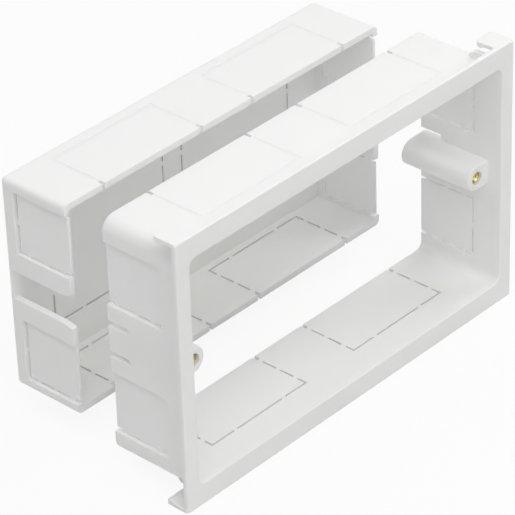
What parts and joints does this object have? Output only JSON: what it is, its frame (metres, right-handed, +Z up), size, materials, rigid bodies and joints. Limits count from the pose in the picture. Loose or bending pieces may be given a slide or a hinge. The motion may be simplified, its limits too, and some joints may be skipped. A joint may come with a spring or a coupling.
{
  "type": "dado trunking back box",
  "caption": "Moulded back box for dado trunking: a flanged clip-in frame with brass screw inserts, and a knockout rear box that slides into the frame from behind.",
  "frame": {"origin": "midway between the two socket screws, on the plane of the brass inserts' faces, 1 mm behind the boss faces", "axes": "+X along the length of the box, +Y from the flange in towards the wall, +Z up"},
  "size_m": [0.1404, 0.0712, 0.0864],
  "materials": {
    "frame_plastic": "smooth moulded semi-gloss white",
    "rear_plastic": "smooth moulded semi-gloss white",
    "brass": "bright turned"
  },
  "bodies": {
    "frame": {"front_frame": "frame_plastic", "threaded_insert_left": "brass", "threaded_insert_right": "brass"},
    "rear": {"rear_box": "rear_plastic"}
  },
  "joints": [
    {"name": "rear_box_slide", "type": "slide", "parent": "frame", "child": "rear", "axis": [0, 1, 0], "range_m": [-0.039, 0]}
  ]
}
